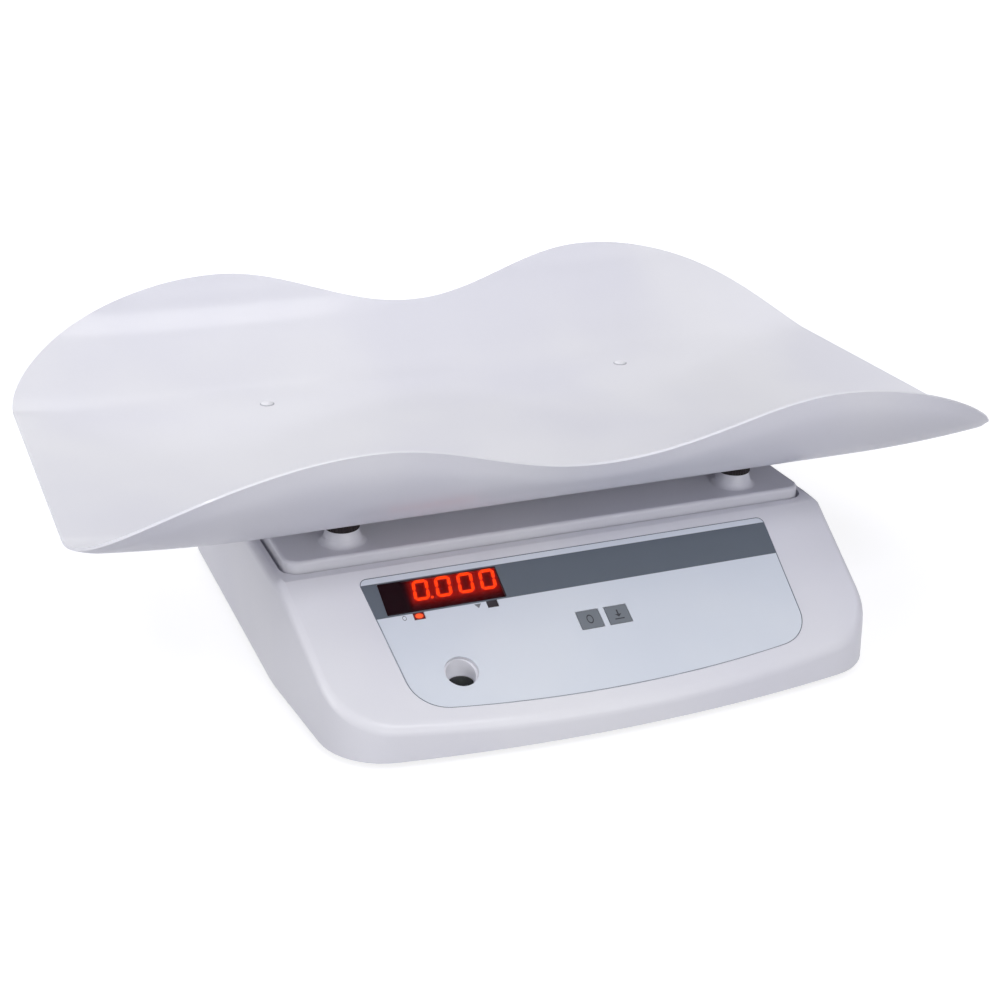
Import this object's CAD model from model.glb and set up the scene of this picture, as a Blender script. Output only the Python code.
import math

import bmesh
import bpy
from mathutils import Matrix, Vector


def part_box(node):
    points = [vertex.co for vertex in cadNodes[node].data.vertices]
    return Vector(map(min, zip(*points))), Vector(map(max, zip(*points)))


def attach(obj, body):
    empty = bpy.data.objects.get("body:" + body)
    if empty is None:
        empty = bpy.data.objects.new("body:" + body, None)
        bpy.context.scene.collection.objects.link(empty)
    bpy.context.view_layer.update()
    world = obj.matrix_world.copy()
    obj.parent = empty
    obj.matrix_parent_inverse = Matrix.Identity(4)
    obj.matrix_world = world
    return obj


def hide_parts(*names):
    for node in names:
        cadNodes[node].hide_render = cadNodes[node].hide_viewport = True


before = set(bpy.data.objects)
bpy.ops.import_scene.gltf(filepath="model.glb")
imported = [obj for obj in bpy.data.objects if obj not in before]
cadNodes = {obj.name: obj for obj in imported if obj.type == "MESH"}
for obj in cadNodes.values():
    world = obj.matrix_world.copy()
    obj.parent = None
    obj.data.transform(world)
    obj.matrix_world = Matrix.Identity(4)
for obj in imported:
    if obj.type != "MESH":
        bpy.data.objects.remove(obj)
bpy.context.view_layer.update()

mm = 0.001
trayLow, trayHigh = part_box("tray")
midY = (trayLow.y + trayHigh.y) / 2  # the tray's middle line, which the platform shares
print("frame loaded:", len(cadNodes), "nodes, middle line at y", round(midY, 5))

# camera at the photo's viewing angle
cameraSetup = {
    "place": (-353 * mm, -862 * mm, 454 * mm),  # from the tray's middle line on the table
    "azimuth": -22.9,
    "elevation": 23.7,
    "roll": 1.3,
    "lens": 59.4,
    "shiftX": -0.011,
    "shiftY": 0.007,
}


def makeCamera():
    azimuth, elevation, roll = (
        math.radians(cameraSetup[k]) for k in ("azimuth", "elevation", "roll"))
    back = Vector((math.sin(azimuth) * math.cos(elevation),
                   -math.cos(azimuth) * math.cos(elevation), math.sin(elevation)))
    level = Vector((math.cos(azimuth), math.sin(azimuth), 0))
    right = math.cos(roll) * level + math.sin(roll) * back.cross(level)
    turn = Matrix((right, back.cross(right), back)).transposed()
    data = bpy.data.cameras.new("photo_camera")
    data.lens = cameraSetup["lens"]
    data.sensor_width = 36
    data.shift_x = cameraSetup["shiftX"]
    data.shift_y = cameraSetup["shiftY"]
    data.clip_start = 0.05
    camera = bpy.data.objects.new("photo_camera", data)
    bpy.context.scene.collection.objects.link(camera)
    camera.matrix_world = (Matrix.Translation(Vector(cameraSetup["place"]) + Vector((0, midY, 0)))
                           @ turn.to_4x4())
    bpy.context.scene.camera = camera


makeCamera()
print("camera placed")


# node trees written as expressions
class Wire:  # a socket that can stand in an expression
    def __init__(self, tree, socket):
        self.tree = tree
        self.socket = socket

    def __add__(self, other):
        return self.tree.calc("ADD", self, other)

    __radd__ = __add__

    def __sub__(self, other):
        return self.tree.calc("SUBTRACT", self, other)

    def __rsub__(self, other):
        return self.tree.calc("SUBTRACT", other, self)

    def __mul__(self, other):
        return self.tree.calc("MULTIPLY", self, other)

    __rmul__ = __mul__

    def __truediv__(self, other):
        return self.tree.calc("DIVIDE", self, other)

    def __rtruediv__(self, other):
        return self.tree.calc("DIVIDE", other, self)

    def __neg__(self):
        return self.tree.calc("MULTIPLY", self, -1)

    def __abs__(self):
        return self.tree.calc("ABSOLUTE", self)

    def __lt__(self, other):
        return self.tree.calc("LESS_THAN", self, other)

    def __gt__(self, other):
        return self.tree.calc("GREATER_THAN", self, other)


class Tree:  # adds nodes to a shader or geometry tree
    def __init__(self, nodeTree):
        self.nodes = nodeTree.nodes
        self.links = nodeTree.links

    def add(self, kind, sockets=None, **settings):
        node = self.nodes.new(kind)
        for key, value in settings.items():
            setattr(node, key, value)
        for key, value in (sockets or {}).items():
            if isinstance(value, bpy.types.Node):  # its first output
                value = self.out(value)
            if isinstance(value, Wire):
                self.links.new(value.socket, node.inputs[key])
            else:
                node.inputs[key].default_value = value
        return node

    def out(self, node, name=0):
        return Wire(self, node.outputs[name])

    def calc(self, operation, *values):
        return self.out(self.add("ShaderNodeMath", dict(enumerate(values)), operation=operation))

    def sine(self, angle):
        return self.calc("SINE", angle)

    def cosine(self, angle):
        return self.calc("COSINE", angle)

    def root(self, value):
        return self.calc("SQRT", self.least(value, 0))

    def least(self, value, low):
        return self.calc("MAXIMUM", value, low)

    def most(self, value, high):
        return self.calc("MINIMUM", value, high)

    def length(self, a, b):
        return self.root(a * a + b * b)

    def ramp(self, value, low, high):  # 0 below low, 1 above high, smooth between
        node = self.add("ShaderNodeMapRange", {"Value": value, "From Min": low, "From Max": high},
                        interpolation_type="SMOOTHSTEP")
        return self.out(node)

    def between(self, value, low, high, soft=0.05 * mm):
        return (self.ramp(value, low - soft, low + soft)
                * (1 - self.ramp(value, high - soft, high + soft)))

    def mix(self, amount, a, b):  # colours
        return self.out(self.add("ShaderNodeMix", {0: amount, 6: a, 7: b}, data_type="RGBA"), 2)

    def split(self, vector):
        node = self.add("ShaderNodeSeparateXYZ", {0: vector})
        return [self.out(node, i) for i in range(3)]


def emptyTree(owner):  # a material's or a world's own tree, cleared
    owner.use_nodes = True
    owner.node_tree.nodes.clear()
    return Tree(owner.node_tree)


def sRgb(red, green, blue):  # a colour as seen on screen, 0 to 255
    def linear(value):
        value /= 255
        return value / 12.92 if value <= 0.04045 else ((value + 0.055) / 1.055) ** 2.4
    return (linear(red), linear(green), linear(blue), 1)


class Finish:  # a material with its Principled shader and its Object coordinates
    def __init__(self, name, **fixed):
        self.material = bpy.data.materials.new(name)
        self.tree = emptyTree(self.material)
        self.shader = self.tree.add("ShaderNodeBsdfPrincipled",
                                    {key.replace("_", " "): value for key, value in fixed.items()})
        self.tree.add("ShaderNodeOutputMaterial", {"Surface": self.shader})
        self.place = self.tree.out(self.tree.add("ShaderNodeTexCoord"), "Object")

    def axes(self):
        return self.tree.split(self.place)

    def noise(self, scale, detail=2.0, rough=0.5, place=None):
        node = self.tree.add("ShaderNodeTexNoise", {"Vector": place or self.place, "Scale": scale,
                                                    "Detail": detail, "Roughness": rough})
        return self.tree.out(node)

    def feed(self, socket, value):
        if isinstance(value, Wire):
            self.tree.links.new(value.socket, self.shader.inputs[socket])
        else:
            self.shader.inputs[socket].default_value = value

    def bump(self, height, distance, strength=1.0):
        node = self.tree.add("ShaderNodeBump",
                             {"Height": height, "Distance": distance, "Strength": strength})
        self.feed("Normal", self.tree.out(node))

    def panelAxes(self):  # across the panel and down its slope, in metres
        x, y, z = self.axes()
        down = -((y - (midY + panel["creaseY"])) * math.cos(panel["tilt"])
                 + (z - panel["deckZ"]) * math.sin(panel["tilt"]))
        return x, down


# the panel's own measures
panel = {"tilt": math.radians(28.2), "creaseY": -105.2 * mm, "deckZ": 69.2 * mm}
panelOrigin = Vector((0, midY + panel["creaseY"], panel["deckZ"]))
upSlope = Vector((0, math.cos(panel["tilt"]), math.sin(panel["tilt"])))
outOfPanel = Vector((0, -math.sin(panel["tilt"]), math.cos(panel["tilt"])))
panelTurn = Matrix((Vector((1, 0, 0)), upSlope, outOfPanel)).transposed().to_4x4()
panelMatrix = Matrix.Translation(panelOrigin) @ panelTurn


# lowest and highest corner of a CAD node in the panel's measures: x, up the slope, out of the face
def panelBox(node):
    back = panelMatrix.inverted()
    spots = [back @ vertex.co for vertex in cadNodes[node].data.vertices]
    return (Vector([min(p[i] for p in spots) for i in range(3)]),
            Vector([max(p[i] for p in spots) for i in range(3)]))


# finishes
shellLook = {
    "colour": sRgb(226, 226, 233),
    "deep": sRgb(219, 219, 229),
    "cloudScale": 7,  # scales are in patches per metre
    "smearScale": 23,
    "roughLow": 0.44,
    "roughHigh": 0.53,
    "coat": 0.22,
    "coatSwing": 0.08,
    "coatRough": 0.12,
    "peelScale": 420,  # orange peel of the moulding
    "peelDepth": 0.05 * mm,
    "fineScale": 2600,
}


def shellPlastic():
    look = shellLook
    finish = Finish("shell_white", IOR=1.5, Coat_Roughness=look["coatRough"])
    tree = finish.tree
    cloud = finish.noise(look["cloudScale"])
    peel = finish.noise(look["peelScale"], 1)
    fine = finish.noise(look["fineScale"])
    finish.feed("Base Color", tree.mix(tree.ramp(cloud, 0.35, 0.65), look["colour"], look["deep"]))
    smear = finish.noise(look["smearScale"], 4, 0.6)
    finish.feed("Roughness", look["roughLow"]
                + (look["roughHigh"] - look["roughLow"]) * smear + 0.03 * fine)
    finish.feed("Coat Weight", look["coat"] + look["coatSwing"] * cloud)
    finish.bump(peel + 0.25 * fine, look["peelDepth"], 0.35)
    return finish.material


overlayLook = {
    "film": sRgb(217, 222, 232),
    "filmDeep": sRgb(211, 217, 229),
    "band": sRgb(96, 104, 115),
    "bandTop": 10.0 * mm,
    "bandBottom": 32.4 * mm,
    "print": sRgb(120, 123, 130),
    "weaveScale": 1500,
    "weaveDepth": 0.03 * mm,
}


def overlayFilm():
    look = overlayLook
    finish = Finish("overlay_film", IOR=1.48)
    tree = finish.tree
    x, down = finish.panelAxes()
    grain = finish.noise(look["weaveScale"])
    cloud = finish.noise(12)
    band = tree.between(down, look["bandTop"], look["bandBottom"], 0.08 * mm)
    ground = tree.mix(tree.ramp(cloud, 0.3, 0.7), look["film"], look["filmDeep"])
    marks = panelMarks(tree, x, down)
    inked = tree.mix(marks, tree.mix(band, ground, look["band"]), look["print"])
    finish.feed("Base Color", inked)
    finish.feed("Roughness", 0.34 + 0.06 * grain + 0.05 * band)
    finish.bump(grain, look["weaveDepth"], 0.3)
    return finish.material


signShape = {  # plain signs beside the lamps: a ring and a wedge
    "step": 5.2 * mm,  # from a lamp's left edge to its sign
    "ringIn": 1.1 * mm,
    "ringOut": 1.55 * mm,
    "ringSquash": 1.35,
    "wedgeTall": 2.8 * mm,
    "wedgeHalf": 2.0 * mm,
    "wedgeSlope": 0.7,
    "soft": 0.05 * mm,
}


def panelMarks(tree, x, down):
    shape = signShape
    zeroLow, zeroHigh = panelBox("zero_lamp")
    netLow, netHigh = panelBox("net_lamp")
    ringX, ringDown = zeroLow.x - shape["step"], -(zeroLow.y + zeroHigh.y) / 2
    ring = tree.between(tree.length((x - ringX) * shape["ringSquash"], down - ringDown),
                        shape["ringIn"], shape["ringOut"])
    wedgeX, wedgeDown = netLow.x - shape["step"], -(netLow.y + netHigh.y) / 2
    drop = down - (wedgeDown - shape["wedgeTall"] / 2)
    inside = (shape["wedgeHalf"] - shape["wedgeSlope"] * drop) - abs(x - wedgeX)
    wedge = (tree.between(drop, 0, shape["wedgeTall"])
             * tree.ramp(inside, -shape["soft"], shape["soft"]))
    return tree.most(ring + wedge, 1)


keyLook = {
    "colour": sRgb(117, 123, 131),
    "sign": sRgb(54, 56, 62),
    "rough": 0.42,
    "ringIn": 2.1 * mm,
    "ringOut": 2.9 * mm,
    "ringSquash": 1.5,
    "stem": (-3.0 * mm, 0.4 * mm),  # distances down the slope from the key's middle
    "stemHalf": 0.45 * mm,
    "headTop": -0.2 * mm,
    "headTall": 2.0 * mm,
    "headHalf": 1.9 * mm,
    "foot": (2.5 * mm, 3.2 * mm),
    "footHalf": 2.8 * mm,
}


# printed key: zero carries a plain ring, tare an arrow over a line
def keyFilm(node):
    look = keyLook
    finish = Finish(node + "_film", IOR=1.48)
    tree = finish.tree
    x, down = finish.panelAxes()
    low, high = panelBox(node)
    x = x - (low.x + high.x) / 2
    down = down + (low.y + high.y) / 2
    grain = finish.noise(1800)
    if node == "zero_key":
        sign = tree.between(tree.length(x * look["ringSquash"], down), look["ringIn"], look["ringOut"])
    else:
        stem = tree.between(down, *look["stem"]) * (abs(x) < look["stemHalf"])
        drop = down - look["headTop"]
        head = tree.between(drop, 0, look["headTall"]) * (abs(x) < look["headHalf"] - drop)
        foot = tree.between(down, *look["foot"]) * (abs(x) < look["footHalf"])
        sign = tree.most(stem + head + foot, 1)
    finish.feed("Base Color", tree.mix(sign, look["colour"], look["sign"]))
    finish.feed("Roughness", look["rough"] + 0.08 * grain)
    finish.bump(grain, overlayLook["weaveDepth"], 0.3)
    return finish.material


# plain moulded plastic, a little dusty
def moulding(name, colour, rough, grainScale=900):
    finish = Finish(name, IOR=1.5)
    tree = finish.tree
    grain = finish.noise(grainScale, 3)
    dust = finish.noise(35, 4, 0.65)
    lighter = [min(255, c * 1.35 + 6) for c in colour]
    finish.feed("Base Color", tree.mix(tree.ramp(dust, 0.45, 0.75) * 0.6, sRgb(*colour), sRgb(*lighter)))
    finish.feed("Roughness", rough + 0.14 * grain)
    finish.bump(grain, 0.12 * mm, 0.4)
    return finish.material


# rubber with a pale bloom
def rubber(name, colour):
    finish = Finish(name, IOR=1.45)
    tree = finish.tree
    grain = finish.noise(1400, 3)
    bloom = finish.noise(60, 3)
    pale = [c + 16 for c in colour]
    finish.feed("Base Color", tree.mix(tree.ramp(bloom, 0.5, 0.8), sRgb(*colour), sRgb(*pale)))
    finish.feed("Roughness", 0.62 + 0.2 * grain)
    finish.bump(grain, 0.15 * mm, 0.5)
    return finish.material


# metal with fine scratches, long ones where it is brushed
def metal(name, colour, rough, brushed=None, fleck=0.12):
    finish = Finish(name, Metallic=1.0)
    tree = finish.tree
    cloud = finish.noise(40, 3)
    scratch = finish.noise(1500)
    if brushed:
        stretch = tree.add("ShaderNodeMapping", {"Vector": finish.place, "Scale": brushed})
        scratch = finish.noise(300, 4, 0.7, stretch)
    dull = [c * (1 - fleck) for c in colour]
    finish.feed("Base Color", tree.mix(tree.ramp(cloud, 0.35, 0.7), sRgb(*colour), sRgb(*dull)))
    finish.feed("Roughness", rough + 0.16 * scratch)
    finish.bump(scratch, 0.02 * mm, 0.3)
    return finish.material


boardLook = {"ground": sRgb(22, 84, 46), "track": sRgb(44, 122, 70), "pitch": 2.54 * mm}


# tracks run one way or the other, patch by patch
def boardLaminate():
    look = boardLook
    finish = Finish("board_laminate", IOR=1.5)
    tree = finish.tree
    x, down = finish.panelAxes()
    trackX = abs(tree.sine(x * (math.pi / look["pitch"])))
    trackDown = abs(tree.sine(down * (math.pi / look["pitch"])))
    cells = finish.noise(70, 0)
    track = tree.most(tree.ramp(trackX, 0.93, 0.97) * (cells > 0.5)
                      + tree.ramp(trackDown, 0.93, 0.97) * (cells < 0.5), 1)
    finish.feed("Base Color", tree.mix(track, look["ground"], look["track"]))
    finish.feed("Roughness", 0.28 + 0.1 * track)
    finish.bump(track, 0.05 * mm, 0.5)
    return finish.material


def scaled(colour, factor):  # lighter or darker, opaque
    return [min(1, c * factor) for c in colour[:3]] + [1]


displayLook = {
    "lit": (1.0, 0.04, 0.003, 1),
    "litStrength": 13,
    "bar": (0.4, 0.02, 0.005, 1),
    "barPale": (0.6, 0.05, 0.01, 1),
    "face": sRgb(18, 4, 7),
    "glow": (1.0, 0.02, 0.008, 1),
    "glowStrength": 4.5,
    "glowReach": 1.9 * mm,
    "pane": sRgb(26, 1, 7),
    "paneRough": 0.08,
    "paneAlpha": 0.66,  # before the digits, the rest of the pane is nearly black
    "paneDark": 6.5 * mm,  # from here to paneClear left of the second digit it turns clear
    "paneClear": 1.5 * mm,
    "lean": math.radians(8),
}


lampLook = {
    "colour": (1.0, 0.09, 0.015, 1),
    "edge": (0.05, 0, 0, 1),
    "red": sRgb(140, 16, 8),
    "surround": sRgb(38, 8, 8),
    "strength": 1.5,
    "heart": 0.35,
    "wide": 2.9 * mm,
    "tall": 2.1 * mm,
    "unlit": sRgb(40, 36, 40),
}


# glow of a digit's bars, a little uneven
def litBars():
    look = displayLook
    finish = Finish("segment_lit", IOR=1.5, Roughness=0.35)
    tree = finish.tree
    grain = finish.noise(900)
    finish.feed("Base Color", tree.mix(grain, look["bar"], look["barPale"]))
    shimmer = tree.mix(tree.ramp(grain, 0.3, 0.7), look["lit"], scaled(look["lit"], 1.25))
    finish.feed("Emission Color", shimmer)
    finish.feed("Emission Strength", look["litStrength"])
    return finish.material


# lit lamp: a bright heart that fades into a dark red surround
def litLens():
    look = lampLook
    finish = Finish("lamp_lit", IOR=1.5)
    tree = finish.tree
    x, down = finish.panelAxes()
    low, high = panelBox("zero_lamp")
    away = tree.length((x - (low.x + high.x) / 2) / look["wide"],
                       (down + (low.y + high.y) / 2) / look["tall"])
    heart = 1 - tree.ramp(away, look["heart"], 1)
    grain = finish.noise(1600)
    finish.feed("Base Color", tree.mix(heart, look["surround"], look["red"]))
    finish.feed("Roughness", 0.25 + 0.15 * grain)
    finish.feed("Emission Color", tree.mix(heart * (0.75 + 0.5 * grain), look["edge"], look["colour"]))
    finish.feed("Emission Strength", look["strength"])
    return finish.material


def darkLens():
    finish = Finish("lamp_unlit", IOR=1.5)
    tree = finish.tree
    grain = finish.noise(1200)
    finish.feed("Base Color", tree.mix(grain, lampLook["unlit"], scaled(lampLook["unlit"], 1.8)))
    finish.feed("Roughness", 0.3 + 0.2 * grain)
    return finish.material


# dark face of the digit block with a soft glow round each lit digit
def displayFace(digits, middleDown):
    look = displayLook
    finish = Finish("display_face", IOR=1.5)
    tree = finish.tree
    x, down = finish.panelAxes()
    grain = finish.noise(1500)
    glow = 0
    lean = (middleDown - down) * math.tan(look["lean"])
    for digitX, halfWide, halfHigh in digits:
        overX = abs(x - lean - digitX) - halfWide
        overY = abs(down - middleDown) - halfHigh
        outside = tree.length(tree.least(overX, 0), tree.least(overY, 0))
        inside = tree.most(tree.least(overX, overY), 0)
        stroke = abs(outside + inside)
        glow = glow + tree.calc("EXPONENT", stroke * (-1 / look["glowReach"]))
    finish.feed("Base Color", tree.mix(grain, look["face"], scaled(look["face"], 1.6)))
    finish.feed("Roughness", 0.45 + 0.2 * grain)
    finish.feed("Emission Color", tree.mix(tree.most(glow, 1), (0, 0, 0, 1), look["glow"]))
    finish.feed("Emission Strength", look["glowStrength"])
    return finish.material


# tinted pane: a dark red body, clearer before the lit digits, with a low gloss
def tintedPane():
    look = displayLook
    finish = Finish("window_tint", IOR=1.49, Specular_IOR_Level=0.2)
    tree = finish.tree
    x = finish.axes()[0]
    secondDigit = panelBox("digit_segments")[0].x + digitShape["pitch"]  # the first stays dark
    beside = 1 - tree.ramp(x, secondDigit - look["paneDark"], secondDigit - look["paneClear"])
    haze = finish.noise(300, 3)
    finish.feed("Base Color", tree.mix(haze, look["pane"], scaled(look["pane"], 0.8)))
    finish.feed("Roughness", look["paneRough"] + 0.03 * haze)
    finish.feed("Alpha", look["paneAlpha"] * (1 - beside) + beside + 0.02 * haze)
    return finish.material


print("finishes defined")


# mesh helpers
def meshObject(name, mesh):
    piece = bpy.data.objects.new(name, mesh)
    bpy.context.scene.collection.objects.link(piece)
    return piece


def fromBmesh(name, shape, matrix=None):
    if matrix is not None:
        bmesh.ops.transform(shape, matrix=matrix, verts=shape.verts)
    bmesh.ops.recalc_face_normals(shape, faces=shape.faces)
    mesh = bpy.data.meshes.new(name)
    shape.to_mesh(mesh)
    shape.free()
    return meshObject(name, mesh)


def smooth(piece, angle):
    for face in piece.data.polygons:
        face.use_smooth = True
    piece.data.set_sharp_from_angle(angle=math.radians(angle))


def bevel(piece, width, segments, angle):
    modifier = piece.modifiers.new("edges", "BEVEL")
    modifier.width = width
    modifier.segments = segments
    modifier.limit_method = "ANGLE"
    modifier.angle_limit = math.radians(angle)
    modifier.harden_normals = True


def weigh(piece):  # keeps flat faces flat beside a rounded edge
    modifier = piece.modifiers.new("flat faces", "WEIGHTED_NORMAL")
    modifier.keep_sharp = True
    modifier.weight = 80


def settle(piece):  # turns live modifiers into a plain mesh
    depsgraph = bpy.context.evaluated_depsgraph_get()
    mesh = bpy.data.meshes.new_from_object(piece.evaluated_get(depsgraph))
    old = piece.data
    piece.modifiers.clear()
    piece.data = mesh
    mesh.name = piece.name
    bpy.data.meshes.remove(old)


def finishPiece(piece, material, body, slot, *nodes):
    piece.data.materials.clear()
    piece.data.materials.append(material)
    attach(piece, body)
    if nodes:
        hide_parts(*nodes)
    return piece


mergeReach = 0.002 * mm  # CAD vertices closer than this are one


# a CAD node's own shape with its triangles joined, its round faces smooth and its edges eased
def dress(node, name, material, body, slot, angle=30, edges=0.0):
    shape = bmesh.new()
    shape.from_mesh(cadNodes[node].data)
    bmesh.ops.remove_doubles(shape, verts=shape.verts, dist=mergeReach)
    bmesh.ops.dissolve_degenerate(shape, edges=shape.edges, dist=mergeReach / 2)
    bmesh.ops.dissolve_limit(shape, angle_limit=math.radians(0.3), verts=shape.verts, edges=shape.edges)
    mesh = bpy.data.meshes.new(name)
    shape.to_mesh(mesh)
    shape.free()
    piece = meshObject(name, mesh)
    smooth(piece, angle)
    if edges:
        bevel(piece, edges, 2, angle + 4)
    weigh(piece)
    settle(piece)
    return finishPiece(piece, material, body, slot, node)


# closed shape turned about Z from a profile of (radius, height) points that starts and ends on the axis
def lathe(profile, steps, place=(0, 0, 0)):
    shape = bmesh.new()
    rings = []
    for radius, height in profile:
        if radius == 0:
            rings.append([shape.verts.new((place[0], place[1], place[2] + height))])
        else:
            rings.append([shape.verts.new((place[0] + radius * math.cos(2 * math.pi * k / steps),
                                           place[1] + radius * math.sin(2 * math.pi * k / steps),
                                           place[2] + height)) for k in range(steps)])
    for low, high in zip(rings, rings[1:]):
        for k in range(steps):
            n = (k + 1) % steps
            if len(low) == 1:
                shape.faces.new((low[0], high[k], high[n]))
            elif len(high) == 1:
                shape.faces.new((low[k], low[n], high[0]))
            else:
                shape.faces.new((low[k], low[n], high[n], high[k]))
    return shape


# arc of (radius, height) points round a centre, angles in degrees
def arc(middleR, middleH, radius, start, stop, steps):
    return [(middleR + radius * math.cos(math.radians(start + (stop - start) * k / steps)),
             middleH + radius * math.sin(math.radians(start + (stop - start) * k / steps)))
            for k in range(steps + 1)]


def takeShape(piece):  # a piece's mesh as a bmesh, without the piece
    shape = bmesh.new()
    shape.from_mesh(piece.data)
    bpy.data.objects.remove(piece)
    return shape


def joined(name, shapes, matrix=None):  # several bmeshes as one object
    whole = bmesh.new()
    for shape in shapes:
        mesh = bpy.data.meshes.new("part")
        shape.to_mesh(mesh)
        shape.free()
        whole.from_mesh(mesh)
        bpy.data.meshes.remove(mesh)
    return fromBmesh(name, whole, matrix)


# prism over a closed outline of (x, y) points
def prism(outline, low, high):
    shape = bmesh.new()
    bottom = [shape.verts.new((x, y, low)) for x, y in outline]
    top = [shape.verts.new((x, y, high)) for x, y in outline]
    shape.faces.new(list(reversed(bottom)))
    shape.faces.new(top)
    for k in range(len(outline)):
        n = (k + 1) % len(outline)
        shape.faces.new((bottom[k], bottom[n], top[n], top[k]))
    return shape


def roundedBox(halfWide, halfHigh, radius, steps, middle):
    outline = []
    for turn, sx, sy in ((0, 1, 1), (90, -1, 1), (180, -1, -1), (270, 1, -1)):
        outline += arc(middle[0] + sx * (halfWide - radius), middle[1] + sy * (halfHigh - radius),
                       radius, turn, turn + 90, steps)
    return outline


# geometry nodes: shared parts of the trees
def newTree(name, inputs):
    group = bpy.data.node_groups.new(name, "GeometryNodeTree")
    sockets = {}
    for label, kind, value in inputs:
        socket = group.interface.new_socket(name=label, in_out="INPUT", socket_type="NodeSocket" + kind)
        if value is not None:
            socket.default_value = value
        sockets[label] = socket.identifier
    group.interface.new_socket(name="Geometry", in_out="OUTPUT", socket_type="NodeSocketGeometry")
    tree = Tree(group)
    source = tree.add("NodeGroupInput")
    given = {label: tree.out(source, label) for label, kind, value in inputs}
    return group, tree, given, sockets


def endTree(tree, geometry, material):
    real = tree.add("GeometryNodeRealizeInstances", {"Geometry": geometry})
    painted = tree.add("GeometryNodeSetMaterial", {"Geometry": real, "Material": material})
    tree.add("NodeGroupOutput", {0: painted})


def runTree(name, group, sockets, values, mesh=None):
    piece = meshObject(name, mesh or bpy.data.meshes.new(name))
    modifier = piece.modifiers.new("made", "NODES")
    modifier.node_group = group
    for label, value in values.items():
        modifier[sockets[label]] = value
    settle(piece)
    return piece


# tray: one sheet that follows a rule
traySize = {
    "Half Length": 269.7 * mm,
    "Floor Height": 100 * mm,
    "Floor Half Width": 90 * mm,
    "Bend Radius": 75.5 * mm,
    "Hump Place": 130 * mm,
    "Hump Arc": 193 * mm,
    "Valley Arc": 165 * mm,
    "End Arc": 95 * mm,
    "End Rise": 6.5 * mm,
    "Rise Start": 170 * mm,
}
trayMesh = {
    "along": 241,
    "across": 97,
    "sheet": 3 * mm,
    "rimShare": 0.5,  # of the sheet's thickness, at the rim
    "thinReach": 14 * mm,  # from the rim to the full thickness
    "rimRound": 0.6 * mm,
}


def trayTree():
    inputs = [(label, "Float", value) for label, value in traySize.items()]
    inputs += [("Middle Y", "Float", 0.0), ("Steps Along", "Int", trayMesh["along"]),
               ("Steps Across", "Int", trayMesh["across"]), ("Material", "Material", None)]
    group, tree, given, sockets = newTree("tray sheet", inputs)
    grid = tree.add("GeometryNodeMeshGrid",
                    {"Size X": 2.0, "Size Y": 2.0, "Vertices X": given["Steps Along"],
                     "Vertices Y": given["Steps Across"]})
    along, across, _ = tree.split(tree.add("GeometryNodeInputPosition"))
    reach = abs(along)
    middle = reach < 0.5
    overrun = given["Half Length"] - given["Hump Place"]
    outer = tree.sine(tree.least(2 * reach - 1, 0) * (math.pi / 2))  # 0 at the hump, 1 at the end
    x = (middle * (2 * reach * given["Hump Place"])
         + (1 - middle) * (given["Hump Place"] + overrun * outer))
    wave = tree.cosine(math.pi * x / given["Hump Place"])
    meanArc = (given["Hump Arc"] + given["Valley Arc"]) / 2
    swing = (given["Hump Arc"] - given["Valley Arc"]) / 2
    narrowing = given["End Arc"] + (given["Hump Arc"] - given["End Arc"]) * tree.root(1 - outer * outer)
    halfArc = middle * (meanArc - swing * wave) + (1 - middle) * narrowing
    arcLength = abs(across) * halfArc
    flat = tree.most(arcLength, given["Floor Half Width"])
    bend = (arcLength - flat) / given["Bend Radius"]
    climb = tree.least((x - given["Rise Start"]) / (given["Half Length"] - given["Rise Start"]), 0)
    side = tree.calc("SIGN", across)
    place = tree.add("ShaderNodeCombineXYZ", {
        0: tree.calc("SIGN", along) * x,
        1: given["Middle Y"] + side * (flat + given["Bend Radius"] * tree.sine(bend)),
        2: given["Floor Height"] + given["End Rise"] * climb * climb
        + given["Bend Radius"] * (1 - tree.cosine(bend))})
    shaped = tree.add("GeometryNodeSetPosition", {"Geometry": grid, "Position": place})
    endTree(tree, shaped, given["Material"])
    return group, sockets


# weights for the wall: the sheet thins towards its trimmed rim
def thinRim(piece):
    across = trayMesh["across"]
    share = trayMesh["rimShare"]
    group = piece.vertex_groups.new(name="wall")
    for vertex in piece.data.vertices:
        fromSide = (1 - abs(2 * (vertex.index % across) / (across - 1) - 1)) * traySize["Hump Arc"]
        fromEnd = traySize["Half Length"] - abs(vertex.co.x)
        full = min(1, fromSide / trayMesh["thinReach"], fromEnd / trayMesh["thinReach"])
        group.add([vertex.index], share + (1 - share) * full * full * (3 - 2 * full), "REPLACE")


def makeTray(material):
    group, sockets = trayTree()
    values = dict(traySize)
    values.update({"Middle Y": midY, "Steps Along": trayMesh["along"],
                   "Steps Across": trayMesh["across"], "Material": material})
    piece = runTree("tray_sheet", group, sockets, values)
    thinRim(piece)
    wall = piece.modifiers.new("wall", "SOLIDIFY")
    wall.vertex_group = "wall"
    wall.thickness = trayMesh["sheet"]
    wall.offset = -1
    wall.use_even_offset = False
    settle(piece)
    smooth(piece, 40)
    bevel(piece, trayMesh["rimRound"], 3, 50)  # only the rim is sharper than 50 degrees
    settle(piece)
    piece.vertex_groups.clear()
    return finishPiece(piece, material, "platform", "white_shell", "tray")


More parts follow.
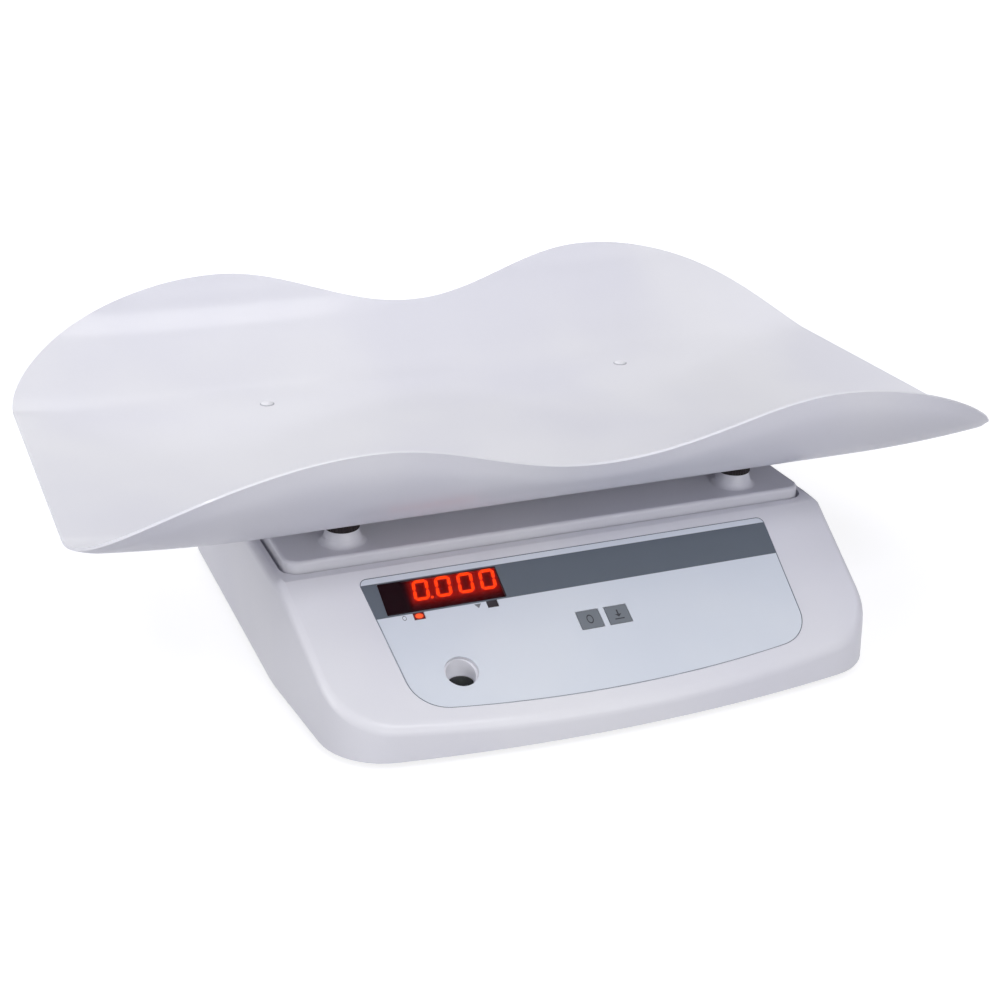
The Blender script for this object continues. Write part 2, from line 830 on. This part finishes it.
# screws, pads and wheels: one tree puts a source piece on every place
def placingTree():
    group, tree, given, sockets = newTree("placed pieces", [
        ("Places", "Geometry", None), ("Source", "Object", None), ("Turn Seed", "Int", 0),
        ("Turn", "Float", 0.0), ("Material", "Material", None)])
    source = tree.add("GeometryNodeObjectInfo", {"Object": given["Source"], "As Instance": True},
                      transform_space="ORIGINAL")
    spin = tree.add("FunctionNodeRandomValue", {"Min": 0.0, "Max": given["Turn"],
                                                "Seed": given["Turn Seed"]}, data_type="FLOAT")
    turned = tree.add("ShaderNodeCombineXYZ", {2: tree.out(spin, 1)})
    points = tree.add("GeometryNodeMeshToPoints", {"Mesh": given["Places"]})
    placed = tree.add("GeometryNodeInstanceOnPoints",
                      {"Points": points, "Instance": tree.out(source, "Geometry"),
                       "Rotation": turned})
    endTree(tree, placed, given["Material"])
    return group, sockets


placer = placingTree()
turnSeed = 3


def placeAll(name, source, places, material, turn=2 * math.pi):
    group, sockets = placer
    mesh = bpy.data.meshes.new(name)
    mesh.from_pydata([tuple(p) for p in places], [], [])
    piece = runTree(name, group, sockets,
                    {"Source": source, "Turn Seed": turnSeed, "Turn": turn, "Material": material}, mesh)
    bpy.data.objects.remove(source)
    smooth(piece, 35)
    return piece


# middles of the loose solids of a CAD node, at a height
def solidPlaces(node, height):
    shape = bmesh.new()
    shape.from_mesh(cadNodes[node].data)
    bmesh.ops.remove_doubles(shape, verts=shape.verts, dist=mergeReach)
    left = set(shape.verts)
    places = []
    while left:
        group, edge = set(), [left.pop()]
        while edge:
            vertex = edge.pop()
            group.add(vertex)
            for link in vertex.link_edges:
                other = link.other_vert(vertex)
                if other in left:
                    left.remove(other)
                    edge.append(other)
        xs = [v.co.x for v in group]
        ys = [v.co.y for v in group]
        places.append(((min(xs) + max(xs)) / 2, (min(ys) + max(ys)) / 2, height))
    shape.free()
    return sorted(set((round(x, 5), round(y, 5), z) for x, y, z in places))


print("helpers ready")

shellWhite = shellPlastic()
traySheet = makeTray(shellWhite)
print("tray made:", len(traySheet.data.polygons), "faces")


trayHead = {
    "radius": 4.5 * mm,
    "height": 1.4 * mm,
    "domeSteps": 10,
    "shank": 9.8 * mm,
    "shankRadius": 2 * mm,
    "lacquer": sRgb(227, 227, 234),
    "dust": sRgb(160, 160, 170),
    "dustFrom": 0.2 * mm,  # heights over the tray's floor
    "dustTo": 0.8 * mm,
}


# cap lacquer: dusty where it meets the tray, so the low dome stands out
def capLacquer(floor):
    finish = Finish("cap_lacquer", IOR=1.5)
    tree = finish.tree
    height = finish.axes()[2]
    grain = finish.noise(1400)
    clean = tree.ramp(height + 0.2 * mm * grain, floor + trayHead["dustFrom"], floor + trayHead["dustTo"])
    finish.feed("Base Color", tree.mix(clean, trayHead["dust"], trayHead["lacquer"]))
    finish.feed("Roughness", 0.5 - 0.2 * clean)
    finish.bump(grain, 0.02 * mm, 0.3)
    return finish.material


def makeTrayScrews():
    floor = traySize["Floor Height"]
    lacquer = capLacquer(floor)
    head = trayHead
    dome = (head["radius"] ** 2 + head["height"] ** 2) / (2 * head["height"])  # the dome's own radius
    steps = head["domeSteps"]
    out = [head["radius"] * math.sin(math.pi / 2 * k / steps) for k in range(steps + 1)]
    profile = [(r, head["height"] - dome + math.sqrt(dome ** 2 - r ** 2)) for r in out]
    profile += [(head["shankRadius"], 0.0), (head["shankRadius"], -head["shank"]), (0, -head["shank"])]
    source = fromBmesh("screw_source", lathe(profile, 48))
    piece = placeAll("tray_screw_caps", source, solidPlaces("tray_screws", floor), lacquer)
    return finishPiece(piece, lacquer, "platform", "white_shell", "tray_screws")


makeTrayScrews()

# pads on their bosses
padShape = {
    "radius": 9.75 * mm,
    "footRound": 1 * mm,
    "collar": 0.38,  # heights as shares of the pad's own
    "groove": 0.55,
    "grooveRadius": 1.5 * mm,
    "topInset": 0.4 * mm,
    "neck": 3 * mm,
    "lip": 0.8 * mm,
    "flute": 0.55 * mm,
    "flutes": 36,
    "fluteTop": 0.45,
    "colour": (24, 14, 18),
}
bossShape = {"rise": 4.6 * mm, "foot": 10.45 * mm, "neck": 9.0 * mm, "sunk": 0.3 * mm, "edge": 0.8 * mm}


def makePads(material):
    pad = padShape
    low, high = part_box("rubber_pads")
    base = low.z + bossShape["rise"] - bossShape["sunk"]
    tall = high.z - base
    radius, foot, lip = pad["radius"], pad["footRound"], pad["lip"]
    top = radius - pad["topInset"]
    profile = [(0, 0), (radius - foot, 0)] + arc(radius - foot, foot, foot, -90, 0, 4)
    profile += [(radius, tall * pad["collar"])]
    profile += arc(radius, tall * pad["groove"], pad["grooveRadius"], 250, 110, 8)
    profile += [(top, tall - pad["neck"]), (top, tall - lip)]
    profile += arc(top - lip, tall - lip, lip, 0, 90, 3) + [(0, tall)]
    shape = lathe(profile, 72)
    for vertex in shape.verts:  # shallow flutes round the lower collar
        reach = math.hypot(vertex.co.x, vertex.co.y)
        if reach > radius * 0.99 and vertex.co.z < tall * pad["fluteTop"]:
            angle = math.atan2(vertex.co.y, vertex.co.x)
            shrink = 1 - pad["flute"] / radius * (0.5 + 0.5 * math.cos(pad["flutes"] * angle))
            vertex.co.x *= shrink
            vertex.co.y *= shrink
    source = fromBmesh("pad_source", shape)
    piece = placeAll("pad_set", source, solidPlaces("rubber_pads", base), material, turn=0.0)
    return finishPiece(piece, material, "platform", "pad_rubber", "rubber_pads")


def makeBosses():  # white cones that carry the platform's own bosses up to the pads
    boss = bossShape
    profile = [(0, -boss["sunk"]), (boss["foot"], -boss["sunk"])]
    profile += arc(boss["neck"] - boss["edge"], boss["rise"] - boss["edge"], boss["edge"], 0, 90, 4)
    source = fromBmesh("boss_source", lathe(profile + [(0, boss["rise"])], 72))
    places = solidPlaces("rubber_pads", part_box("rubber_pads")[0].z)
    piece = placeAll("boss_necks", source, places, shellWhite, turn=0.0)
    return finishPiece(piece, shellWhite, "platform", "white_shell")


makeBosses()
makePads(rubber("pad_rubber", padShape["colour"]))

# moulded shells
dress("platform_cover", "platform_shell", shellWhite, "platform", "white_shell", 25)
dress("upper_housing", "housing_shell", shellWhite, "base", "white_shell", 25)
dress("bottom_pan", "pan_shell", moulding("pan_plastic", (46, 47, 50), 0.5, 700), "base", "pan_grey")
print("shells dressed")

# overlay with its printed band and a fine raised rim
dress("overlay_panel", "overlay_sheet", overlayFilm(), "base", "overlay_film", edges=0.12 * mm)


overlayShape = {
    "topHalf": 122.7 * mm,
    "topDown": 6 * mm,
    "sideDown": 89.8 * mm,
    "bottomDown": 98.4 * mm,
    "taper": math.radians(5.75),
    "topRadius": 4 * mm,
    "lowRadius": 22 * mm,
    "bowRadius": 760 * mm,
    "bowSteps": 24,
}


# arc that rounds a corner between two neighbours
def roundedCorner(before, corner, after, radius, steps):
    one, two = (before - corner).normalized(), (after - corner).normalized()
    half = one.angle(two) / 2
    middle = corner + (one + two).normalized() * (radius / math.sin(half))
    start, end = (corner + way * (radius / math.tan(half)) - middle for way in (one, two))
    first = math.atan2(start.y, start.x)
    turn = (math.atan2(end.y, end.x) - first + 5 * math.pi) % (2 * math.pi) - math.pi  # the short way
    angles = [first + turn * k / steps for k in range(steps + 1)]
    return [middle + radius * Vector((math.cos(a), math.sin(a))) for a in angles]


# closed outline in panel measures, drawn in by an inset: right half first, then its mirror image
def overlayOutline(inset):
    shape = overlayShape
    lowHalf = shape["topHalf"] - (shape["sideDown"] - shape["topDown"]) * math.tan(shape["taper"]) - inset
    top = Vector((shape["topHalf"] - inset, -shape["topDown"] - inset))
    low = Vector((lowHalf, -shape["sideDown"] + inset))
    bow = []
    for k in range(shape["bowSteps"] + 1):
        x = (lowHalf - shape["lowRadius"]) * (1 - k / shape["bowSteps"])
        sag = shape["bowRadius"] - math.sqrt(shape["bowRadius"] ** 2 - x * x)
        bow.append(Vector((x, -shape["bottomDown"] + inset + sag)))
    half = (roundedCorner(Vector((0, top.y)), top, low, shape["topRadius"] - inset, 6)
            + roundedCorner(top, low, bow[0], shape["lowRadius"] - inset, 16) + bow)
    return half + [Vector((-p.x, p.y)) for p in reversed(half[:-1])]


rimLine = {"width": 0.55 * mm, "proud": 0.12 * mm, "ink": (104, 110, 124)}


def rimTree():
    group, tree, given, sockets = newTree("overlay rim", [
        ("Outline", "Geometry", None), ("Width", "Float", 0.5 * mm), ("Height", "Float", 0.2 * mm),
        ("Material", "Material", None)])
    path = tree.add("GeometryNodeMeshToCurve", {"Mesh": given["Outline"]})
    section = tree.add("GeometryNodeCurvePrimitiveQuadrilateral",
                       {"Width": given["Height"], "Height": given["Width"]})
    swept = tree.add("GeometryNodeCurveToMesh", {"Curve": path, "Profile Curve": section})
    endTree(tree, swept, given["Material"])
    return group, sockets


def makeRim(material):
    points = [panelMatrix @ Vector((p.x, p.y, 0)) for p in overlayOutline(rimLine["width"] / 2)]
    edges = [(k, (k + 1) % len(points)) for k in range(len(points))]
    mesh = bpy.data.meshes.new("overlay_rim")
    mesh.from_pydata([tuple(p) for p in points], edges, [])
    group, sockets = rimTree()
    piece = runTree("overlay_rim", group, sockets,
                    {"Width": rimLine["width"], "Height": 2 * rimLine["proud"], "Material": material},
                    mesh)
    return finishPiece(piece, material, "base", "overlay_film")


makeRim(moulding("rim_ink", rimLine["ink"], 0.4, 1500))
print("overlay made")

# display: five digits of which the first stays dark
digitShape = {
    "count": 5,
    "pitch": 12.7 * mm,
    "bar": 1.75 * mm,
    "halfWide": 3.6 * mm,
    "gap": 0.3 * mm,
    "dot": 0.8 * mm,
    "dotOut": 1.9 * mm,
    "pointAfter": 1,
}


# outlines of one digit's bars and its point
def digitBars(halfHigh):
    look = digitShape
    half = look["bar"] / 2
    up = halfHigh - half
    bars = {}

    def bar(middle, long, upright):
        tip = long / 2
        outline = [(-tip, 0), (-tip + half, -half), (tip - half, -half), (tip, 0), (tip - half, half),
                   (-tip + half, half)]
        return [(middle[0] - v, middle[1] + u) if upright else (middle[0] + u, middle[1] + v)
                for u, v in outline]

    wide = 2 * look["halfWide"] - look["gap"]
    tall = up - look["gap"]
    for key, level in (("top", up), ("middle", 0), ("bottom", -up)):
        bars[key] = bar((0, level), wide, False)
    for key, sx, sy in (("upperLeft", -1, 1), ("upperRight", 1, 1), ("lowerLeft", -1, -1),
                        ("lowerRight", 1, -1)):
        bars[key] = bar((sx * look["halfWide"], sy * up / 2), tall, True)
    bars["point"] = arc(look["halfWide"] + look["dotOut"], -up, look["dot"], 0, 345, 23)
    return bars


# lit and dark bars as two pieces; the dark ones and the block share the face's material
def makeDigits():
    look = digitShape
    low, high = panelBox("digit_segments")
    middleUp = (low.y + high.y) / 2
    moduleLow, moduleHigh = panelBox("display_module")
    firstX = (moduleLow.x + moduleHigh.x) / 2 - (look["count"] - 1) / 2 * look["pitch"]
    halfHigh = (high.y - low.y) / 2
    lean = math.tan(displayLook["lean"])
    bars = digitBars(halfHigh)
    lit, unlit, digits = [], [], []
    for k in range(look["count"]):
        blank = k == 0
        digitX = firstX + k * look["pitch"]
        for key, outline in bars.items():
            on = not blank and (key != "middle" if key != "point" else k == look["pointAfter"])
            spots = [(digitX + u + v * lean, middleUp + v) for u, v in outline]
            (lit if on else unlit).append(prism(spots, low.z, high.z))
        if not blank:
            digits.append((digitX, look["halfWide"], halfHigh - look["bar"] / 2))
    litPiece = joined("digits_lit", lit, panelMatrix)
    unlitPiece = joined("digits_unlit", unlit, panelMatrix)
    for piece in (litPiece, unlitPiece):
        smooth(piece, 30)
    finishPiece(litPiece, litBars(), "base", "digit_red", "digit_segments")
    face = displayFace(digits, -middleUp)
    finishPiece(unlitPiece, face, "base", "digit_red", "digit_segments")
    return face


dress("display_module", "display_block", makeDigits(), "base", "black_plastic")
dress("display_window", "display_pane", tintedPane(), "base", "red_filter", edges=0.15 * mm)
dress("zero_lamp", "zero_lamp_lens", litLens(), "base", "lamp_lit", edges=0.2 * mm)
dress("net_lamp", "net_lamp_lens", darkLens(), "base", "lamp_dark", edges=0.2 * mm)
print("display made")

# keys: rounded caps over their plungers
keyShape = {
    "corner": 0.8 * mm,
    "cap": 0.7 * mm,
    "plunger": 2 * mm,
    "overlap": 0.01 * mm,
    "edge": 0.18 * mm,
}


def makeKey(node):
    key = keyShape
    low, high = panelBox(node)
    middle = ((low.x + high.x) / 2, (low.y + high.y) / 2)
    wide, tall = (high.x - low.x) / 2, (high.y - low.y) / 2
    under = high.z - key["cap"]
    cap = prism(roundedBox(wide, tall, key["corner"], 5, middle), under, high.z)
    plunger = prism(arc(*middle, key["plunger"], 0, 345, 23), low.z, under + key["overlap"])
    piece = joined(node + "_cap", [cap, plunger], panelMatrix)
    smooth(piece, 30)
    bevel(piece, key["edge"], 3, 40)
    settle(piece)
    return finishPiece(piece, keyFilm(node), node + "_body", "key_grey", node)


for keyNode in ("zero_key", "tare_key"):
    makeKey(keyNode)


# spirit level: a white cup with a domed lens; depths are below its top
levelShape = {
    "rim": 1.0 * mm,  # width of the rim round the lens
    "foot": 0.6 * mm,
    "slack": 0.05 * mm,
    "shoulder": 1.2 * mm,
    "slope": 1.0 * mm,
    "rimDepth": 0.4 * mm,
    "floorDepth": 1.0 * mm,
    "lensGap": 0.1 * mm,
    "lensDepth": 0.9 * mm,
    "domeDepth": 0.75 * mm,
    "domeRise": 0.7 * mm,
}
levelLook = {
    "ring": (3.4 * mm, 3.8 * mm),
    "bubble": (2.2 * mm, 2.6 * mm),
    "bubblePlace": (0.4 * mm, 0.3 * mm),
    "dark": sRgb(8, 10, 8),
    "deep": sRgb(16, 19, 13),
    "pale": sRgb(30, 36, 28),
    "ink": sRgb(3, 3, 3),
}


# liquid seen through the lens: nearly black, with a paler bubble and a printed ring
def levelLiquid(place):
    look = levelLook
    finish = Finish("level_liquid", IOR=1.5, Roughness=0.15, Specular_IOR_Level=0.15)
    tree = finish.tree
    x, y, _ = finish.axes()
    away = tree.length(x - place[0], y - place[1])
    ring = tree.between(away, *look["ring"])
    bubbleX, bubbleY = look["bubblePlace"]
    bubble = 1 - tree.ramp(tree.length(x - place[0] - bubbleX, y - place[1] - bubbleY), *look["bubble"])
    liquid = tree.mix(finish.noise(200), look["dark"], look["deep"])
    finish.feed("Base Color", tree.mix(ring, tree.mix(bubble, liquid, look["pale"]), look["ink"]))
    return finish.material


def makeLevel():
    level = levelShape
    dress("bubble_cup", "level_well", shellWhite, "base", "white_shell")
    low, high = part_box("bubble_vial")
    place = ((low.x + high.x) / 2, (low.y + high.y) / 2, 0)
    top = high.z
    radius = (high.x - low.x) / 2
    outer = radius - level["slack"]
    inner = radius - level["rim"]
    rim, floor = top - level["rimDepth"], top - level["floorDepth"]
    profile = [(0, low.z), (radius - level["foot"], low.z), (outer, low.z + level["foot"]),
               (outer, top - level["shoulder"]), (radius - level["slope"], rim), (inner, rim),
               (inner, floor), (0, floor)]
    vial = fromBmesh("level_body", lathe(profile, 64, place))
    smooth(vial, 30)
    finishPiece(vial, shellWhite, "base", "white_shell", "bubble_vial")
    lensRadius = inner - level["lensGap"]
    under = top - level["lensDepth"]
    angles = [math.radians(a) for a in range(0, 90, 10)]
    profile = [(0, under), (lensRadius, under)]
    profile += [(lensRadius * math.cos(a), top - level["domeDepth"] + level["domeRise"] * math.sin(a))
                for a in angles]
    profile += [(0, top - level["domeDepth"] + level["domeRise"])]
    lens = fromBmesh("level_lens", lathe(profile, 64, place))
    smooth(lens, 40)
    finishPiece(lens, levelLiquid(place), "base", "vial_dark", "bubble_vial")


makeLevel()
print("keys and level made")

# feet
wheelShape = {"notches": 24, "depth": 0.9 * mm, "points": 480, "rise": 5 * mm, "overlap": 0.01 * mm}
soleShape = {
    "hollow": 5.4 * mm,  # radius of the recess underneath
    "hollowDepth": 0.5 * mm,
    "groove": 3.2 * mm,  # from the rim to the ring groove
    "grooveEnd": 2.2 * mm,
    "grooveDepth": 0.4 * mm,
    "slope": 0.2 * mm,
    "round": 0.8 * mm,
    "topEdge": 0.3 * mm,
}
threadShape = {
    "pitch": 1.25 * mm,
    "depth": 0.45 * mm,
    "radius": 4 * mm,
    "tip": 0.8 * mm,
    "tipInset": 1.1 * mm,
    "clear": 1 * mm,
}


def wheelTree():
    wheel = wheelShape
    group, tree, given, sockets = newTree("knurled wheel", [
        ("Radius", "Float", 15 * mm), ("Height", "Float", wheel["rise"]),
        ("Notches", "Int", wheel["notches"]), ("Notch Depth", "Float", wheel["depth"]),
        ("Steps", "Int", wheel["points"]), ("Material", "Material", None)])
    ring = tree.add("GeometryNodeCurvePrimitiveCircle",
                    {"Resolution": given["Steps"], "Radius": given["Radius"]})
    x, y, _ = tree.split(tree.add("GeometryNodeInputPosition"))
    angle = tree.calc("ARCTAN2", y, x)
    dip = tree.ramp(tree.cosine(angle * given["Notches"]), 0.1, 0.9) * given["Notch Depth"]
    scale = 1 - dip / given["Radius"]
    place = tree.add("ShaderNodeCombineXYZ", {0: x * scale, 1: y * scale, 2: 0.0})
    shaped = tree.add("GeometryNodeSetPosition", {"Geometry": ring, "Position": place})
    disc = tree.add("GeometryNodeFillCurve", {0: shaped})
    tall = tree.add("GeometryNodeExtrudeMesh",
                    {"Mesh": disc, "Offset Scale": given["Height"], "Individual": False})
    under = tree.add("GeometryNodeFlipFaces", {"Mesh": disc})
    both = tree.add("GeometryNodeJoinGeometry")
    tree.links.new(tall.outputs[0], both.inputs[0])
    tree.links.new(under.outputs[0], both.inputs[0])
    merged = tree.add("GeometryNodeMergeByDistance",
                      {"Geometry": both, "Distance": wheel["overlap"] / 2})
    endTree(tree, merged, given["Material"])
    return group, sockets


def threadProfile(low, high):  # grooves at the thread's pitch
    thread = threadShape
    pitch, outer = thread["pitch"], thread["radius"]
    root = outer - thread["depth"]
    profile = [(0, low), (root, low)]
    level = low
    while level + pitch < high - thread["clear"]:
        profile += [(root, level + 0.1 * pitch), (outer, level + 0.5 * pitch),
                    (root, level + 0.95 * pitch)]
        level += pitch
    return profile + [(root, high - thread["tip"]), (outer - thread["tipInset"], high), (0, high)]


def soleProfile(radius, tall):
    sole = soleShape
    deep, slope, edge = sole["grooveDepth"], sole["slope"], sole["round"]
    start, end = radius - sole["groove"], radius - sole["grooveEnd"]
    profile = [(0, sole["hollowDepth"]), (sole["hollow"], sole["hollowDepth"]),
               (sole["hollow"] + slope, 0.0), (start, 0.0), (start + slope, deep), (end - slope, deep),
               (end, 0.0), (radius - edge, 0.0)]
    profile += arc(radius - edge, edge, edge, -90, 0, 4)[1:]
    return profile + [(radius, tall - sole["topEdge"]), (radius - sole["topEdge"], tall), (0, tall)]


def makeFeet(wheelMaterial, soleMaterial):
    group, sockets = wheelTree()
    for k in range(1, 5):
        soleLow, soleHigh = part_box("foot_sole_%d" % k)
        low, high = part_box("foot_screw_%d" % k)
        x, y = (low.x + high.x) / 2, (low.y + high.y) / 2
        wheelTop = soleHigh.z + wheelShape["rise"]
        shape = takeShape(runTree("wheel", group, sockets, {
            "Radius": (high.x - low.x) / 2, "Height": wheelTop - low.z, "Material": wheelMaterial}))
        bmesh.ops.translate(shape, verts=shape.verts, vec=(x, y, low.z))
        stud = lathe(threadProfile(wheelTop - wheelShape["overlap"], high.z), 40, (x, y, 0))
        piece = joined("foot_wheel_%d" % k, [shape, stud])
        smooth(piece, 32)
        finishPiece(piece, wheelMaterial, "foot_%d_screw" % k, "black_plastic", "foot_screw_%d" % k)
        profile = soleProfile((soleHigh.x - soleLow.x) / 2, soleHigh.z - soleLow.z)
        sole = fromBmesh("foot_pad_%d" % k, lathe(profile, 64, (x, y, soleLow.z)))
        smooth(sole, 30)
        finishPiece(sole, soleMaterial, "foot_%d" % k, "sole_rubber", "foot_sole_%d" % k)


blackPlastic = moulding("moulding_black", (30, 30, 32), 0.38)
makeFeet(blackPlastic, rubber("sole_rubber", (30, 30, 32)))
print("feet made")

# screws under the pan
panScrew = {
    "radius": 3.8 * mm,
    "head": 1.6 * mm,
    "edge": 0.3 * mm,
    "shaft": 1.9 * mm,
    "overlap": 0.05 * mm,
    "tip": 1 * mm,
    "recess": 1.1 * mm,
    "crossHalf": 0.45 * mm,
    "crossReach": 1.9 * mm,
}


# head with a cross recess: the recess is a boolean, so the head stays one closed mesh
def screwHead():
    screw = panScrew
    radius, height, edge = screw["radius"], screw["head"], screw["edge"]
    profile = [(0, height)] + arc(radius - edge, height - edge, edge, 90, 0, 3) + [(radius, 0), (0, 0)]
    head = fromBmesh("screw_source", lathe(profile, 40))
    half, reach = screw["crossHalf"], screw["crossReach"]
    for wide, deep in ((half, reach), (reach, half)):
        arm = prism([(wide, deep), (-wide, deep), (-wide, -deep), (wide, -deep)],
                    height - screw["recess"], height + 1 * mm)
        cutter = fromBmesh("cutter", arm)
        cut = head.modifiers.new("recess", "BOOLEAN")
        cut.object = cutter
        cut.solver = "EXACT"
        settle(head)
        bpy.data.objects.remove(cutter)
    return head


def makePanScrews(material):
    screw = panScrew
    low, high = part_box("housing_screws")
    places = solidPlaces("housing_screws", low.z)
    shank = high.z - low.z
    head = takeShape(screwHead())
    turned = Matrix.Translation((0, 0, screw["head"])) @ Matrix.Rotation(math.pi, 4, "X")
    bmesh.ops.transform(head, matrix=turned, verts=head.verts)
    start, radius = screw["head"] - screw["overlap"], screw["shaft"]
    shaft = lathe([(0, start), (radius, start), (radius, shank - screw["tip"]), (0, shank)], 24)
    piece = placeAll("pan_screws", joined("screw_source", [head, shaft]), places, material)
    return finishPiece(piece, material, "base", "screw_steel", "housing_screws")


zinc = metal("screw_zinc", (196, 196, 200), 0.26)
makePanScrews(zinc)

# rear fittings
dress("power_inlet", "inlet_socket", blackPlastic, "base", "black_plastic", edges=0.2 * mm)
dress("rocker_frame", "switch_frame", blackPlastic, "base", "black_plastic", edges=0.4 * mm)

rockerLook = {
    "colour": sRgb(34, 34, 36),
    "sign": sRgb(222, 222, 224),
    "lineHalf": 0.3 * mm,
    "line": (2.6 * mm, 5.6 * mm),  # heights over the rocker's middle
    "ringDrop": 4.1 * mm,
    "ring": (1.1 * mm, 1.6 * mm),
}


# rocker with the usual line and ring for on and off
def rockerPlastic():
    look = rockerLook
    finish = Finish("rocker_black", IOR=1.5)
    tree = finish.tree
    x, _, z = finish.axes()
    low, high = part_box("power_rocker")
    x = x - (low.x + high.x) / 2
    z = z - (low.z + high.z) / 2
    grain = finish.noise(1100)
    line = (abs(x) < look["lineHalf"]) * tree.between(z, *look["line"])
    ring = tree.between(tree.length(x, z + look["ringDrop"]), *look["ring"])
    sign = tree.most(line + ring, 1)
    finish.feed("Base Color", tree.mix(sign, look["colour"], look["sign"]))
    finish.feed("Roughness", 0.32 + 0.12 * grain)
    finish.bump(grain, 0.05 * mm, 0.3)
    return finish.material


dress("power_rocker", "rocker_cap", rockerPlastic(), "rocker_body", "black_plastic", edges=0.3 * mm)
print("rear fittings dressed")

# inner pieces: smooth copies where they are round, and the CAD shapes with their own material
frameSteel = metal("frame_zinc", (170, 172, 176), 0.34, fleck=0.18)
aluminium = metal("beam_aluminium", (204, 206, 210), 0.28, (1, 12, 12), 0.06)
brass = metal("insert_brass", (206, 168, 92), 0.25, fleck=0.15)
dress("platform_frame", "frame_plate", frameSteel, "platform", "frame_steel")
dress("load_cell", "bending_beam", aluminium, "base", "cell_aluminium")
dress("foot_inserts", "insert_set", brass, "base", "insert_brass")
innerLooks = {
    "cell_foot_block": aluminium,
    "cell_head_block": aluminium,
    "cell_foot_bolts": zinc,
    "cell_head_bolts": zinc,
    "overload_stops": zinc,
    "pad_screws": zinc,
    "board_screws": zinc,
    "main_board": boardLaminate(),
    "board_components": moulding("component_black", (28, 28, 30), 0.5),
    "key_switches": blackPlastic,
    "cell_lead": moulding("lead_sleeve", (112, 114, 118), 0.45, 600),
}
for node, material in innerLooks.items():
    cadNodes[node].data.materials.clear()
    cadNodes[node].data.materials.append(material)
print("inner pieces painted")


# floor, lights and world
studio = {
    "worldLight": 0.1,
    "floorReach": 6.0,
    "floorLift": (0.8, 1.0),  # near the object, where its shadow stays, and far from it
    "liftReach": (0.5, 1.3),
    "aim": (0, 0, 0.08),
    "floorTone": sRgb(158, 158, 166),
    "lamps": {  # wide and soft, the main one makes the gleam on the rear left hump
        "overhead": {"place": (0, 0.4, 2.4), "size": (3.0, 2.6), "power": 17},
        "main": {"place": (0.2, -1.5, 1.9), "size": (0.9, 0.8), "power": 16},
        "frontFill": {"place": (0.3, -2.4, 0.8), "size": (2.4, 1.0), "power": 23},
        "leftSide": {"place": (-2.2, -0.4, 1.0), "size": (1.2, 1.6), "power": 25},
        "leftGlint": {"place": (-1.2, 0.7, 2.0), "size": (0.35, 0.35), "power": 6},
        "rearFill": {"place": (-0.4, 2.2, 2.0), "size": (2.2, 1.2), "power": 17},
        "rearLow": {"place": (-0.3, 2.6, 0.6), "size": (2.4, 0.8), "power": 7},
        "rearRight": {"place": (1.6, 1.6, 1.6), "size": (1.6, 1.4), "power": 4},
    },
}


def makeFloor():
    shape = bmesh.new()
    reach = studio["floorReach"]
    shape.faces.new([shape.verts.new((x, y, 0)) for x, y in
                     ((-reach, -reach), (reach, -reach), (reach, reach), (-reach, reach))])
    floor = fromBmesh("studio_floor", shape)
    material = bpy.data.materials.new("floor_white")
    tree = emptyTree(material)
    rays = tree.add("ShaderNodeLightPath")
    seen = tree.most(tree.out(rays, "Is Camera Ray") + tree.out(rays, "Is Glossy Ray")
                     + tree.out(rays, "Is Transmission Ray"), 1)
    paint = tree.add("ShaderNodeBsdfDiffuse", {"Color": studio["floorTone"]})
    x, y, _ = tree.split(tree.out(tree.add("ShaderNodeTexCoord"), "Object"))
    away = tree.ramp(tree.length(x, y), *studio["liftReach"])
    near, far = studio["floorLift"]
    lift = tree.add("ShaderNodeEmission",
                    {"Color": (1, 1, 1, 1), "Strength": seen * (near + (far - near) * away)})
    both = tree.add("ShaderNodeAddShader", {0: paint, 1: lift})
    tree.add("ShaderNodeOutputMaterial", {"Surface": both})
    floor.data.materials.append(material)


def makeWorld():
    world = bpy.data.worlds.new("studio_world")
    tree = emptyTree(world)
    rays = tree.add("ShaderNodeLightPath")
    seen = tree.most(tree.out(rays, "Is Camera Ray") + tree.out(rays, "Is Transmission Ray"), 1)
    strength = studio["worldLight"] + seen * (1 - studio["worldLight"])
    sky = tree.add("ShaderNodeBackground", {"Color": (1, 1, 1, 1), "Strength": strength})
    tree.add("ShaderNodeOutputWorld", {"Surface": sky})
    bpy.context.scene.world = world


def makeLamps():
    for name, lamp in studio["lamps"].items():
        data = bpy.data.lights.new(name, "AREA")
        data.shape = "RECTANGLE"
        data.size, data.size_y = lamp["size"]
        data.energy = lamp["power"]
        holder = bpy.data.objects.new(name, data)
        bpy.context.scene.collection.objects.link(holder)
        holder.location = lamp["place"]
        aim = Vector(studio["aim"]) - holder.location
        holder.rotation_mode = "QUATERNION"
        holder.rotation_quaternion = aim.to_track_quat("-Z", "Y")


makeFloor()
makeWorld()
makeLamps()
bpy.context.scene.view_settings.view_transform = "Standard"
print("studio lit")
